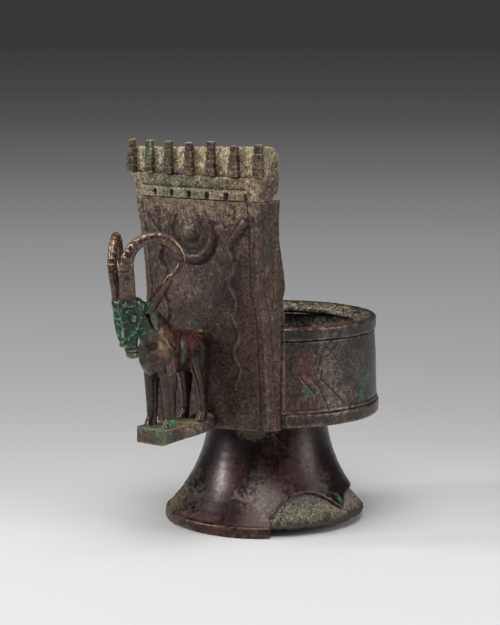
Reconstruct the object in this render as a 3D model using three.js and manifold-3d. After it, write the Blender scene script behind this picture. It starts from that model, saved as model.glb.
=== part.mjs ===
import * as THREE from "three";
import { mergeVertices } from "three/addons/utils/BufferGeometryUtils.js";
import Module from "manifold-3d";

// Bronze incense burner: a round cup on a flared foot, a tall facade plate in front of the cup with a
// parapet of stepped merlons, and a cast ibex on a plinth fixed to the facade. Millimetres, +Z up, the
// facade and the ibex face -Y. Pieces are made round the axis of the foot and the cup, and moved as one
// at the end.

const wasm = await Module();
wasm.setup();

// Fits
const SEAT = 0.3; // clearance between pieces that are set against each other
const BED = 0.12; // clearance under a thin relief on the facade

// Foot
const LIP_RADIUS = 74.2;
const LIP_HEIGHT = 7.4;
const NECK_RADIUS = 42.6;
const NECK_TOP = 79;
const FOOT_WALL = 3;
const FOOT_TOP_WALL = 6;
const CORE_BOTTOM = 4.5;
const BREAK_START = -49.3; // degrees round the foot where the lip breaks off
const BREAK_END = 72;

// Cup
const WALL_RADIUS = 77; // outside, under the rim
const WALL_TAPER = 1.8; // how much wider the wall is at its foot
const WALL_THICKNESS = 4;
const BASE_RADIUS = WALL_RADIUS + WALL_TAPER + 1.3;
const BASE_HEIGHT = 9.4;
const CUP_FLOOR = NECK_TOP + BASE_HEIGHT;
const RIM_BOTTOM = CUP_FLOOR + 50;
const RIM_HEIGHT = 9.8;
const RIM_TOP = RIM_BOTTOM + RIM_HEIGHT;
const RIM_RADIUS = WALL_RADIUS + 0.9;
const LIP_WIDTH = 15.9; // width of the turned-in rim, seen from above
const LIP_DROP = 2.6;
const RIM_EDGE = 4;
const JUNCTION_ANGLE = -44; // where the cup wall meets the side return of the facade

// Facade
const FACADE_BOTTOM = NECK_TOP - 2;
const PANEL_HEIGHT = 158.8;
const PANEL_TOP = FACADE_BOTTOM + PANEL_HEIGHT;
const PANEL_CURVE = 350; // plan radius of the convex front
const FACADE_THICKNESS = 4.6;
const SEAM_HEIGHT = RIM_TOP + 14.8; // where the facade narrows above the cup
const FACET_DEPTH = 15;
const WEB_STEP = 0.8;
const WEB_REACH = 17.1; // from the lower corner line back to the broken rear edge
const PANEL_HALF = 50.9; // half width just above the cup
const BLOCK_WIDENING = 3.4; // how much wider each side is beside the cup
const PANEL_FRONT = 62.5; // from the axis to the lower corners
const FACADE_RAKE = 0.092; // forward lean of the facade at its foot, per mm of height
const PARAPET_HALF = PANEL_HALF + 8.6;
const PARAPET_FOOT = PARAPET_HALF - 5.5;
const PARAPET_DEPTH = 25.3;
const PARAPET_RAKE = 1.235; // how far the rear edge of the returns comes forward as they get wider
const PARAPET_CORNER_Y = -78.7;
const LOWER_EDGE_TILT = 0.045; // drop of the lower edge of the facade towards the left, per mm
const BAND_HEIGHT = 15.8;
const LEDGE_HEIGHT = PANEL_TOP + BAND_HEIGHT;
const WALL_RISE = 19.8;
const WALL_TOP = LEDGE_HEIGHT + WALL_RISE;
const WALL_ROUND = 10; // radius of the top rear corners of the parapet
const WALL_TILT = 0.03; // rise of the top edge towards the right, per mm
const REAR_NOTCH = 6.5; // how far the foot of the parapet is cut back behind

// Merlons and dentils
const MERLON_HEIGHT = 23.7;
const MERLONS = 7;
const MERLON_PITCH = 18.9;
const MERLON_WIDTH = 6.1;
const MERLON_FLARE = 0.7; // how much broader each step is than the one above it
const MERLON_DEPTH = 4.5;
const MERLON_STEPS = 4;
const MERLON_LOSS = [0.7, 0.6, 0.8, 1.3, 0, 2.4, 1.2]; // worn off the top of each merlon
const DENTILS = 6;
const DENTIL_PITCH = 15.9;
const DENTIL_WIDTH = 12.6;
const DENTIL_BOTTOM = PANEL_TOP + 0.6;
const DENTIL_HEIGHT = 5.6;

// Disc, crescent and snakes
const DISC_X = -1.6;
const DISC_Z = PANEL_TOP - 22.6;
const CRESCENT_Z = DISC_Z - 2.2;
const CRESCENT_RADIUS = 20.4;
const CRESCENT_INNER = 15.6;
const DISC_RADIUS = 12;
const BOSS_RADIUS = 6.2;
const BOSS_HEIGHT = 5.2;
const SNAKE_INSET = 23.1; // from the edge of the facade
const SNAKE_HEAD_Z = PANEL_TOP - 12.8;
const SNAKE_TAIL_Z = FACADE_BOTTOM + 27;
const SNAKE_WAVE = 24.6;

// Ibex
const PLINTH_WIDTH = 26.2;
const PLINTH_FRONT = -127;
const PLINTH_BACK = -77.6;
const PLINTH_BOTTOM = 72.2;
const PLINTH_HEIGHT = 11;
const PLINTH_RISE = 3; // how much the underside climbs from the front end to the back
const EYE_RADIUS = 3.3;
const EYE_HEIGHT = 159.6;
const HORN_ROOT_X = 7.4;
const HORN_ROOT_Y = -153.9;
const HORN_SPLAY = 35;
const HORN_SWEEP = 218; // degrees from the front of the loop to the tip
const HORN_LOOP = 18.9;
const HORN_CURL = 6.6; // how far the loop tightens towards the tip
const HORN_LOOP_Z = 196.3;
const LEFT_HORN_DROP = 2.2; // the left horn is a little lower than the right one
const HORN_RINGS = 46; // sections along a horn, a rib on every second one of the front half
const HORN_RIB = 0.36;

const rad = THREE.MathUtils.degToRad;
const smooth = (x, a, b) => THREE.MathUtils.smoothstep(x, a, b);
const mix = THREE.MathUtils.lerp;

// Finishes
const finishes = {
  bronze_brown: { color: 0x4a3b33, roughness: 0.55, metalness: 0.7 },
  bronze_dark: { color: 0x33241f, roughness: 0.45, metalness: 0.75 },
  bronze_crust: { color: 0x6b6455, roughness: 0.85, metalness: 0.3 },
  bronze_green: { color: 0x4c5a48, roughness: 0.6, metalness: 0.5 },
  casting_core: { color: 0x8a8876, roughness: 0.95, metalness: 0 },
};

const group = new THREE.Group();
group.name = "incense_burner";

function add(name, geometry, finish) {
  const mesh = new THREE.Mesh(geometry, new THREE.MeshStandardMaterial(finishes[finish]));
  mesh.name = name;
  group.add(mesh);
}

// Solids and cuts
function solid(geometry) {
  const bare = geometry.clone();
  bare.deleteAttribute("normal");
  bare.deleteAttribute("uv");
  const merged = mergeVertices(bare, 1e-4);
  const mesh = new wasm.Mesh({
    numProp: 3,
    vertProperties: new Float32Array(merged.attributes.position.array),
    triVerts: new Uint32Array(merged.index.array),
  });
  return new wasm.Manifold(mesh);
}

function geometryOf(manifold) {
  const mesh = manifold.getMesh();
  const geometry = new THREE.BufferGeometry();
  geometry.setAttribute("position", new THREE.BufferAttribute(mesh.vertProperties, 3));
  geometry.setIndex(new THREE.BufferAttribute(mesh.triVerts, 1));
  return geometry;
}

const cut = (body, ...tools) => tools.reduce((left, tool) => left.subtract(tool), body);
const fuse = (first, ...others) => others.reduce((whole, next) => whole.add(next), first);
const larger = (one, other) => (other.volume() > one.volume() ? other : one);
const largest = (body) => body.decompose().reduce(larger);

// A closed skin through rings of points, with flat ends, its faces turned outward
function loft(rings) {
  const n = rings[0].length;
  const points = rings.flat();
  const faces = [];
  for (let r = 0; r + 1 < rings.length; r++) {
    for (let i = 0; i < n; i++) {
      const a = r * n + i;
      const b = r * n + ((i + 1) % n);
      faces.push([a, b, a + n], [b, b + n, a + n]);
    }
  }
  const last = (rings.length - 1) * n;
  for (const [a, b, c] of lid(rings[0])) faces.push([a, c, b]);
  for (const [a, b, c] of lid(rings.at(-1))) faces.push([last + a, last + b, last + c]);
  const volume = faces.reduce((sum, [a, b, c]) => sum + points[a].dot(points[b].clone().cross(points[c])), 0);
  const outward = volume > 0 ? faces : faces.map(([a, b, c]) => [a, c, b]);
  const geometry = new THREE.BufferGeometry();
  const places = new Float32Array(points.flatMap((p) => [p.x, p.y, p.z]));
  geometry.setAttribute("position", new THREE.BufferAttribute(places, 3));
  geometry.setIndex(outward.flat());
  return geometry;
}

const lid = (ring) => THREE.ShapeUtils.triangulateShape(flatten(ring), []);

// A ring's points in its own plane, anticlockwise
function flatten(ring) {
  const middle = ring.reduce((sum, p) => sum.add(p), new THREE.Vector3()).divideScalar(ring.length);
  const normal = new THREE.Vector3();
  ring.forEach((p, i) => {
    const next = ring[(i + 1) % ring.length];
    normal.add(p.clone().sub(middle).cross(next.clone().sub(middle)));
  });
  normal.normalize();
  const side = ring[0].clone().sub(middle).normalize();
  const up = normal.clone().cross(side);
  return ring.map((p) => {
    const out = p.clone().sub(middle);
    return new THREE.Vector2(out.dot(side), out.dot(up));
  });
}

// An oval ring round a centre, with half sizes a along u and b along v
function oval(centre, u, v, a, b, count = 16, square = 2) {
  const ring = [];
  for (let i = 0; i < count; i++) {
    const t = (2 * Math.PI * i) / count;
    const c = Math.cos(t);
    const s = Math.sin(t);
    const x = a * Math.sign(c) * Math.abs(c) ** (2 / square);
    const y = b * Math.sign(s) * Math.abs(s) ** (2 / square);
    ring.push(centre.clone().addScaledVector(u, x).addScaledVector(v, y));
  }
  return ring;
}

const at = (x, y, z) => new THREE.Vector3(x, y, z);
const X = at(1, 0, 0);
const Y = at(0, 1, 0);
const Z = at(0, 0, 1);

function revolve(profile, segments = 56) {
  const points = profile.map(([r, z]) => new THREE.Vector2(r, z));
  const lathe = new THREE.LatheGeometry(points, segments);
  return lathe.rotateX(Math.PI / 2);
}

function mirrorX(geometry) {
  const mirrored = geometry.clone();
  mirrored.scale(-1, 1, 1);
  const index = mirrored.index.array;
  for (let i = 0; i < index.length; i += 3) {
    const held = index[i];
    index[i] = index[i + 1];
    index[i + 1] = held;
  }
  return mirrored;
}

// Facade surfaces: half width, corner line and front face at each height
function halfWidth(z) {
  const lower = BLOCK_WIDENING * (1 - smooth(z, SEAM_HEIGHT - 13, SEAM_HEIGHT + 11));
  return PANEL_HALF + 0.037 * (z - SEAM_HEIGHT - 5) + lower;
}

function cornerY(z) {
  const rise = z - FACADE_BOTTOM;
  return -(PANEL_FRONT + FACADE_RAKE * rise + 0.00013 * rise * rise);
}

const bulge = (x, half) => (half * half - x * x) / (2 * PANEL_CURVE);
const frontY = (x, z) => cornerY(z) - bulge(x, halfWidth(z));
const parapetY = (x) => PARAPET_CORNER_Y - bulge(x, PARAPET_HALF);

// Rings for the U-shaped plan of a plate with side returns
const ARC_STEPS = 12;
function channel(z, half, corner, rear, thickness) {
  const ring = [];
  const arc = (h, y, sign) => {
    for (let i = 0; i <= ARC_STEPS; i++) {
      const x = sign * h * (1 - (2 * i) / ARC_STEPS);
      ring.push(at(x, y - bulge(x, h), z));
    }
  };
  ring.push(at(-rear.x, rear.y, z));
  arc(half, corner, -1);
  ring.push(at(rear.x, rear.y, z));
  ring.push(at(rear.x - thickness, rear.y, z));
  arc(half - thickness, corner + thickness, 1);
  ring.push(at(-rear.x + thickness, rear.y, z));
  return ring;
}

const junction = at(
  WALL_RADIUS * Math.cos(rad(JUNCTION_ANGLE)),
  WALL_RADIUS * Math.sin(rad(JUNCTION_ANGLE)),
  0
);

function facetRear(z) {
  const free = smooth(z, RIM_TOP + 2, RIM_TOP + 26);
  return {
    x: mix(junction.x, halfWidth(z), free),
    y: mix(junction.y, cornerY(z) + FACET_DEPTH, free),
  };
}

// Heights of the sections through the lower block, up to the cup, and through the panel above it
const between = (low, high, parts) => Array.from({ length: parts }, (_, i) => mix(low, high, i / parts));
const blockLevels = [...between(FACADE_BOTTOM, RIM_TOP + 2, 5), RIM_TOP + 2, RIM_TOP + 8];
const panelLevels = [SEAM_HEIGHT, SEAM_HEIGHT + 7, ...between(SEAM_HEIGHT + 15, PANEL_TOP, 4), PANEL_TOP];

function facadePanel() {
  const section = (z) => channel(z, halfWidth(z), cornerY(z), facetRear(z), FACADE_THICKNESS);
  const [bottom, ...others] = [...blockLevels, ...panelLevels].map(section);
  const hanging = bottom.map((p) => {
    const drop = LOWER_EDGE_TILT * (halfWidth(FACADE_BOTTOM) - p.x);
    return at(p.x, p.y + FACADE_RAKE * drop, p.z - drop);
  });
  const plate = solid(loft([hanging, ...others]));
  const right = webStrip();
  return fuse(plate, solid(right), solid(mirrorX(right)));
}

// Thin strip behind each side return, standing on the rim, with a broken rear edge
function webStrip() {
  const bottom = RIM_TOP + SEAT;
  const rings = [];
  for (let i = 0; i <= 10; i++) {
    const z = mix(bottom, PANEL_TOP, i / 10);
    const front = facetRear(z).y - 2;
    const tongue = 3.2 * Math.exp(-(((z - SEAM_HEIGHT - 13) / 7) ** 2));
    const bite = 1.6 * Math.exp(-(((z - SEAM_HEIGHT - 4) / 3) ** 2));
    const reach = mix(WEB_REACH, WEB_REACH - 6.2, smooth(z, SEAM_HEIGHT + 21, SEAM_HEIGHT + 51));
    const rear = reach - PANEL_FRONT + tongue - bite;
    const outer = Math.min(halfWidth(z), facetRear(z).x) - WEB_STEP;
    const inner = outer - FACADE_THICKNESS + 2 * WEB_STEP;
    rings.push([at(outer, front, z), at(outer, rear, z), at(inner, rear, z), at(inner, front, z)]);
  }
  return loft(rings);
}

// Room that the facade takes out of the cup: the plate, its returns and all that lies before it
function facadeRoom() {
  const rings = [FACADE_BOTTOM - 5, ...blockLevels].map((z) => {
    const half = halfWidth(z) - FACADE_THICKNESS - SEAT;
    const corner = cornerY(z) + FACADE_THICKNESS + SEAT;
    const rear = junction.y + SEAT;
    const inner = junction.x - FACADE_THICKNESS - SEAT;
    const ring = [at(-95, -140, z), at(95, -140, z), at(95, rear, z), at(inner, rear, z)];
    for (let i = 0; i <= ARC_STEPS; i++) {
      const x = half * (1 - (2 * i) / ARC_STEPS);
      ring.push(at(x, corner - bulge(x, half), z));
    }
    ring.push(at(-inner, rear, z), at(-95, rear, z));
    return ring;
  });
  return solid(loft(rings));
}

// Foot: outline of the flare, shell, casting core and the broken lip
function footRadius(z) {
  const t = THREE.MathUtils.clamp((NECK_TOP - 6 - z) / (NECK_TOP - 6 - LIP_HEIGHT), 0, 1);
  return NECK_RADIUS + (LIP_RADIUS - 0.9 - NECK_RADIUS) * (0.3 * t + 0.7 * t ** 2.45);
}

const FLARE_STEPS = 10;
function flare(offset, from, to) {
  const points = [];
  for (let i = 0; i <= FLARE_STEPS; i++) {
    const z = mix(from, to, i / FLARE_STEPS);
    points.push([footRadius(z) - offset, z]);
  }
  return points;
}

function breakRoom() {
  const arch = (t) => {
    const side = Math.sin(Math.PI * THREE.MathUtils.clamp((t - BREAK_START) / 48.5, 0, 1)) ** 0.62;
    const first = 13.5 + 14.2 * side;
    const second = 22.5 - 10 * smooth(t, 58, BREAK_END);
    return mix(first, second, smooth(t, -1, 17));
  };
  const rings = [];
  const steps = 24;
  for (let i = 0; i <= steps; i++) {
    const t = mix(BREAK_START, BREAK_END, i / steps);
    const spoke = (radius, z) => at(radius * Math.cos(rad(t)), radius * Math.sin(rad(t)), z);
    rings.push([spoke(30, -5), spoke(95, -5), spoke(95, arch(t)), spoke(30, arch(t))]);
  }
  return solid(loft(rings));
}

function footShell() {
  const outside = [[0, NECK_TOP], [NECK_RADIUS, NECK_TOP], ...flare(0, NECK_TOP - 6, LIP_HEIGHT + 1.2)];
  const lip = [[LIP_RADIUS, LIP_HEIGHT], [LIP_RADIUS, 0.8], [LIP_RADIUS - 0.8, 0]];
  const inside = flare(FOOT_WALL, NECK_TOP - FOOT_TOP_WALL, LIP_HEIGHT).reverse();
  const under = [[LIP_RADIUS - FOOT_WALL - 0.4, 0], [LIP_RADIUS - FOOT_WALL - 0.4, LIP_HEIGHT - 1.5]];
  const profile = [...outside, ...lip, ...under, ...inside, [0, NECK_TOP - FOOT_TOP_WALL]];
  return cut(solid(revolve(profile.reverse())), breakRoom());
}

function footCore() {
  const top = NECK_TOP - FOOT_TOP_WALL - SEAT;
  const side = flare(FOOT_WALL + SEAT, top, LIP_HEIGHT).reverse();
  const foot = LIP_RADIUS - FOOT_WALL - 0.4 - SEAT;
  const profile = [[0, CORE_BOTTOM], [foot - 2.2, CORE_BOTTOM], [foot, CORE_BOTTOM + 1.6]];
  return revolve([...profile, [foot, LIP_HEIGHT - 1.5], ...side, [0, top]], 40);
}

// Cup: base course, wall and turned-in rim
function cupBase(room) {
  const low = NECK_TOP;
  const top = CUP_FLOOR;
  const edge = [[BASE_RADIUS - 0.8, low], [BASE_RADIUS, low + 0.9], [BASE_RADIUS, top - 0.9]];
  const profile = [[0, low], ...edge, [BASE_RADIUS - 0.7, top], [0, top]];
  return cut(solid(revolve(profile, 60)), room);
}

function cupWall() {
  const low = CUP_FLOOR;
  const start = rad(JUNCTION_ANGLE) + SEAT / WALL_RADIUS;
  const outer = [];
  const steps = 3;
  for (let i = 0; i <= steps; i++) {
    const z = mix(low, RIM_BOTTOM, i / steps);
    outer.push([WALL_RADIUS + WALL_TAPER * (1 - i / steps), z]);
  }
  const inner = WALL_RADIUS - WALL_THICKNESS;
  const profile = [...outer, [inner, RIM_BOTTOM], [inner, low]];
  const rings = [];
  const count = 46;
  for (let i = 0; i <= count; i++) {
    const turn = mix(Math.PI - start, start, i / count);
    rings.push(profile.map(([r, z]) => at(r * Math.cos(turn), r * Math.sin(turn), z)));
  }
  return loft(rings);
}

function cupRim(room) {
  const lip = RIM_RADIUS - LIP_WIDTH;
  const profile = [
    [RIM_RADIUS - 0.6, RIM_BOTTOM],
    [RIM_RADIUS, RIM_BOTTOM + 0.6],
    [RIM_RADIUS, RIM_TOP - 1],
    [RIM_RADIUS - 1, RIM_TOP],
    [lip + 1, RIM_TOP - LIP_DROP],
    [lip, RIM_TOP - LIP_DROP - 1],
    [lip + 0.8, RIM_TOP - LIP_DROP - RIM_EDGE],
    [WALL_RADIUS - WALL_THICKNESS, RIM_TOP - RIM_EDGE - 2],
    [WALL_RADIUS - WALL_THICKNESS, RIM_BOTTOM],
    [RIM_RADIUS - 0.6, RIM_BOTTOM],
  ];
  return cut(solid(revolve(profile, 60)), room);
}

// Parapet: band, ledge and wall on top of the facade
function parapet() {
  const levels = [
    [PANEL_TOP, PARAPET_FOOT, -0.9],
    [PANEL_TOP + 2.8, PARAPET_FOOT + 0.3, -0.9],
    [PANEL_TOP + 5, PARAPET_FOOT + 1, -0.9],
    [LEDGE_HEIGHT - 5.1, PARAPET_FOOT + 2.6, -0.9],
    [LEDGE_HEIGHT - 1.2, PARAPET_HALF - 0.4, -0.9],
    [LEDGE_HEIGHT, PARAPET_HALF - 0.2, -0.9],
    [LEDGE_HEIGHT + 0.4, PARAPET_HALF - 0.2, 0.5],
    [WALL_TOP - WALL_ROUND, PARAPET_HALF, 0.5],
    [WALL_TOP - 5.4, PARAPET_HALF, 0.5],
    [WALL_TOP - 2.4, PARAPET_HALF - 0.1, 0.6],
    [WALL_TOP - 0.7, PARAPET_HALF - 0.5, 0.9],
    [WALL_TOP, PARAPET_HALF - 1.4, 1.5],
  ];
  const rings = levels.map(([z, half, back]) => {
    const corner = PARAPET_CORNER_Y + back;
    const rise = Math.max(0, z - WALL_TOP + WALL_ROUND);
    const round = WALL_ROUND - Math.sqrt(WALL_ROUND ** 2 - rise ** 2);
    const notch = REAR_NOTCH * (1 - smooth(z, PANEL_TOP + 2, PANEL_TOP + 6));
    const depth = PARAPET_DEPTH - PARAPET_RAKE * (half - PARAPET_FOOT) - round - notch;
    const rear = { x: half - 0.6, y: PARAPET_CORNER_Y + depth };
    const tilt = WALL_TILT * smooth(z, WALL_TOP - WALL_ROUND - 1, WALL_TOP);
    return channel(z, half, corner, rear, FACADE_THICKNESS).map((p) => at(p.x, p.y, p.z + tilt * p.x));
  });
  return loft(rings);
}

// One merlon: stacked blocks, each a little broader than the one above, standing on the ledge
function merlon(x, loss) {
  const low = LEDGE_HEIGHT + 0.4 + SEAT;
  const step = (MERLON_HEIGHT - loss) / MERLON_STEPS;
  const rings = [];
  const section = (k, shrink, z) => {
    const half = (MERLON_WIDTH + MERLON_FLARE * (MERLON_STEPS - 1 - k)) / 2 - shrink;
    const proud = MERLON_DEPTH - 0.25 * k - shrink;
    rings.push([at(-half, 0, z), at(half, 0, z), at(half, -proud, z), at(-half, -proud, z)]);
  };
  for (let k = 0; k < MERLON_STEPS; k++) {
    const z = low + k * step;
    section(k, 0.45, z);
    section(k, 0, z + 0.7);
    section(k, 0, z + step - 0.8);
  }
  section(MERLON_STEPS - 1, 0.45, low + MERLON_HEIGHT - loss);
  const body = loft(rings);
  body.rotateZ(x / PANEL_CURVE);
  return body.translate(x, parapetY(x) + 0.5 - SEAT, 0);
}

// Dentils: a row of blocks under the band, hung on a shallow strip
function dentilRow() {
  const back = -0.9 - BED;
  const rail = (x0, x1, low, high, proud) => {
    const steps = Math.max(2, Math.round(Math.abs(x1 - x0) / 10));
    const rings = [];
    for (let i = 0; i <= steps; i++) {
      const x = mix(x0, x1, i / steps);
      const y = parapetY(x) + back;
      rings.push([at(x, y, low), at(x, y - proud, low), at(x, y - proud, high), at(x, y, high)]);
    }
    return solid(loft(rings));
  };
  const top = DENTIL_BOTTOM + DENTIL_HEIGHT;
  const reach = (DENTILS * DENTIL_PITCH) / 2;
  const blocks = [];
  for (let k = 0; k < DENTILS; k++) {
    const x = (k - (DENTILS - 1) / 2) * DENTIL_PITCH;
    blocks.push(rail(x - DENTIL_WIDTH / 2, x + DENTIL_WIDTH / 2, DENTIL_BOTTOM, top, 1.7));
  }
  return fuse(rail(-reach, reach, top - 0.8, top + 1.4, 1.2), ...blocks);
}

// Relief that follows the facade: a ring across a path of (x, z) points
function reliefRing(x, z, side, width, height) {
  const ring = [];
  const rise = [0, 0.55, 0.88, 1, 0.88, 0.55, 0];
  const count = rise.length;
  const place = (offset, lift) => {
    const px = x + side.x * offset;
    const pz = z + side.y * offset;
    return at(px, frontY(px, pz) - BED - lift, pz);
  };
  for (let i = 0; i < count; i++) ring.push(place(width * (i / (count - 1) - 0.5), height * rise[i] + 0.02));
  ring.push(place(width / 4, 0), place(-width / 4, 0));
  return ring;
}

function reliefPath(count, pathAt, widthAt, heightAt) {
  const rings = [];
  for (let i = 0; i <= count; i++) {
    const t = i / count;
    const p = pathAt(t);
    const ahead = pathAt(Math.min(1, t + 0.004)).sub(pathAt(Math.max(0, t - 0.004))).normalize();
    const side = new THREE.Vector2(ahead.y, -ahead.x);
    rings.push(reliefRing(p.x, p.y, side, widthAt(t), heightAt(t)));
  }
  return loft(rings);
}

// A snake climbs each side of the panel, its head turned outward at the top
function snake(sign) {
  const pathAt = (t) => {
    const z = mix(SNAKE_TAIL_Z, SNAKE_HEAD_Z, t);
    const turn = (2 * Math.PI * (SNAKE_HEAD_Z - 31 - z)) / SNAKE_WAVE;
    const wave = 2.5 * Math.cos(turn) * (1 - smooth(t, 0.84, 0.98));
    const reach = 4.8 * t + 12 * smooth(t, 0.87, 1.03);
    return new THREE.Vector2(sign * (halfWidth(z) - SNAKE_INSET + wave + reach), z);
  };
  const widthAt = (t) => 2.7 + 2.3 * smooth(t, 0.1, 0.75) + 0.9 * smooth(t, 0.88, 0.97);
  const heightAt = (t) => 1.4 + 1.2 * smooth(t, 0.1, 0.8) + 1.1 * smooth(t, 0.86, 0.96);
  return reliefPath(44, pathAt, widthAt, heightAt);
}

// Crescent under the disc, thick below and closing to thin tips above
function crescent() {
  const shift = CRESCENT_RADIUS - CRESCENT_INNER - 0.7;
  const open = rad(38);
  const pathAt = (t) => {
    const turn = mix(Math.PI / 2 + open, Math.PI * 2.5 - open, t);
    const inner = CRESCENT_INNER + shift * Math.sin(turn);
    const middle = (CRESCENT_RADIUS + inner) / 2;
    return new THREE.Vector2(DISC_X + middle * Math.cos(turn), CRESCENT_Z + middle * Math.sin(turn));
  };
  const widthAt = (t) => {
    const turn = mix(Math.PI / 2 + open, Math.PI * 2.5 - open, t);
    return Math.max(1, CRESCENT_RADIUS - CRESCENT_INNER - shift * Math.sin(turn));
  };
  const heightAt = (t) => 0.8 + 2.9 * Math.sin(Math.PI * t ** 1.1);
  return reliefPath(36, pathAt, widthAt, heightAt);
}

// Disc with a domed boss, laid on the curved panel
function sunDisc() {
  const rings = [];
  const height = (r) => {
    const dome = BOSS_HEIGHT * Math.sqrt(Math.max(0, 1 - (r / BOSS_RADIUS) ** 2));
    return Math.max(dome, 1.1 * Math.sqrt(Math.max(0, 1 - (r / DISC_RADIUS) ** 4))) + 0.02;
  };
  const ring = (r, lift) => {
    const points = [];
    for (let i = 0; i < 28; i++) {
      const t = (2 * Math.PI * i) / 28;
      const x = DISC_X + r * Math.cos(t);
      const z = DISC_Z + r * Math.sin(t);
      points.push(at(x, frontY(x, z) - BED - lift, z));
    }
    return points;
  };
  rings.push(ring(DISC_RADIUS * 0.5, 0), ring(DISC_RADIUS, 0));
  for (const r of [DISC_RADIUS * 0.97, 10.4, 8, 6.4, 6.1, 5.2, 3.8, 2, 0.7]) rings.push(ring(r, height(r)));
  return loft(rings);
}

// Plinth under the ibex
function plinth() {
  const half = PLINTH_WIDTH / 2;
  const corner = 3;
  const shape = new THREE.Shape();
  shape.moveTo(-half + corner, PLINTH_FRONT);
  shape.lineTo(half - corner, PLINTH_FRONT);
  shape.absarc(half - corner, PLINTH_FRONT + corner, corner, -Math.PI / 2, 0);
  shape.lineTo(half, PLINTH_BACK - corner);
  shape.absarc(half - corner, PLINTH_BACK - corner, corner, 0, Math.PI / 2);
  shape.lineTo(-half + corner, PLINTH_BACK);
  shape.absarc(-half + corner, PLINTH_BACK - corner, corner, Math.PI / 2, Math.PI);
  shape.lineTo(-half, PLINTH_FRONT + corner);
  shape.absarc(-half + corner, PLINTH_FRONT + corner, corner, Math.PI, Math.PI * 1.5);
  const outline = shape.getPoints(5).slice(0, -1);
  const top = PLINTH_BOTTOM + PLINTH_HEIGHT;
  const under = (y) => PLINTH_BOTTOM + PLINTH_RISE * ((y - PLINTH_FRONT) / (PLINTH_BACK - PLINTH_FRONT));
  const low = outline.map(({ x, y }) => at(x * 0.975, y, under(y)));
  const side = outline.map(({ x, y }) => at(x, y, under(y) + 1));
  return loft([low, side, outline.map(({ x, y }) => at(x, y, top))]);
}

// Lump of metal that joins the plinth to the facade
function joint() {
  const middle = PLINTH_BOTTOM + 8;
  const rings = [];
  for (let i = 0; i <= 6; i++) {
    const t = i / 6;
    const y = mix(PLINTH_BACK + SEAT, frontY(0, middle) - SEAT - 0.4, t);
    const swell = 0.86 + 0.14 * Math.sin(Math.PI * t);
    rings.push(oval(at(0.5, y, middle), Z, X, 6.8 * swell, 9.2 * swell, 16, 2.6));
  }
  return loft(rings);
}

// Ibex: body, neck, head, legs and tail in one casting. Grow swells it to leave room round it.
function ibex(grow = 0) {
  const torso = [
    [-75, 131, 5, 7],
    [-75.8, 130.6, 8.6, 11.8],
    [-78.6, 130.2, 10.2, 14.8],
    [-86, 131.2, 10.4, 15.2],
    [-95, 133.2, 9.4, 14.6],
    [-104, 133.4, 9.8, 15.6],
    [-112, 133.4, 10.7, 17.6],
    [-119.5, 133.8, 10.4, 17.4],
    [-127, 134.2, 8.8, 14.4],
    [-131.8, 134.8, 6, 9.5],
  ].map(([y, z, w, h]) => oval(at(0, y, z), Z, X, h + grow, w + grow, 18, 2.2));
  const neck = [
    [-109, 132, 13, 8.6, 50],
    [-117, 143.4, 14, 8.4, 48],
    [-124.5, 151.6, 12.8, 7.8, 46],
    [-132, 158.4, 11.2, 7, 40],
    [-139.5, 163.6, 9.6, 6.4, 32],
    [-146, 166.4, 6.5, 5.2, 26],
  ].map(([y, z, a, b, tilt]) => {
    const across = at(0, Math.sin(rad(tilt)), Math.cos(rad(tilt)));
    return oval(at(0, y, z), across, X, a + grow, b + grow, 18, 2);
  });
  const head = [
    [133, -145, -140.4, 1.8, 2.4],
    [134.6, -146.8, -138.8, 2.8, 3.6],
    [138.4, -148.2, -138.6, 3.2, 4.2],
    [140.9, -148.2, -139.4, 3, 4.2],
    [141.8, -153.6, -141, 2.6, 4.8],
    [148, -155, -141.4, 2.8, 6],
    [154, -156.8, -140.4, 3, 7.4],
    [161, -157.8, -139, 3.2, 8.8],
    [168, -158.6, -138.2, 3.6, 9.2],
    [172.4, -158.2, -138.4, 3.6, 8.4],
    [174.4, -156.2, -141, 3, 6.4],
  ].map(([z, front, back, thin, wide]) => headRing(z, front - grow, back + grow, thin + grow, wide + grow));
  const parts = [torso, neck, head].map((rings) => solid(loft(rings)));
  for (const sign of [-1, 1]) parts.push(...legs(sign, grow), eye(sign, grow));
  const tail = [
    [-81, 142, 2.6],
    [-76.6, 143.4, 2.6],
    [-75.6, 137, 2],
  ].map(([y, z, r]) => oval(at(3, y, z), Z, X, r + grow, r + grow, 10));
  parts.push(solid(loft(tail)));
  return fuse(...parts);
}

// Section of the head at one height: narrow nose bridge in front, wide cheeks behind
function headRing(z, front, back, thin, wide) {
  const depth = back - front;
  const outline = [
    [thin * 0.6, front],
    [thin, front + 0.05 * depth],
    [mix(thin, wide, 0.7), front + 0.36 * depth],
    [wide, front + 0.66 * depth],
    [wide * 0.92, back - 0.12 * depth],
    [wide * 0.6, back],
  ];
  const right = outline.map(([x, y]) => at(x, y, z));
  const left = outline.map(([x, y]) => at(-x, y, z)).reverse();
  return [...right, ...left];
}

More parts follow.
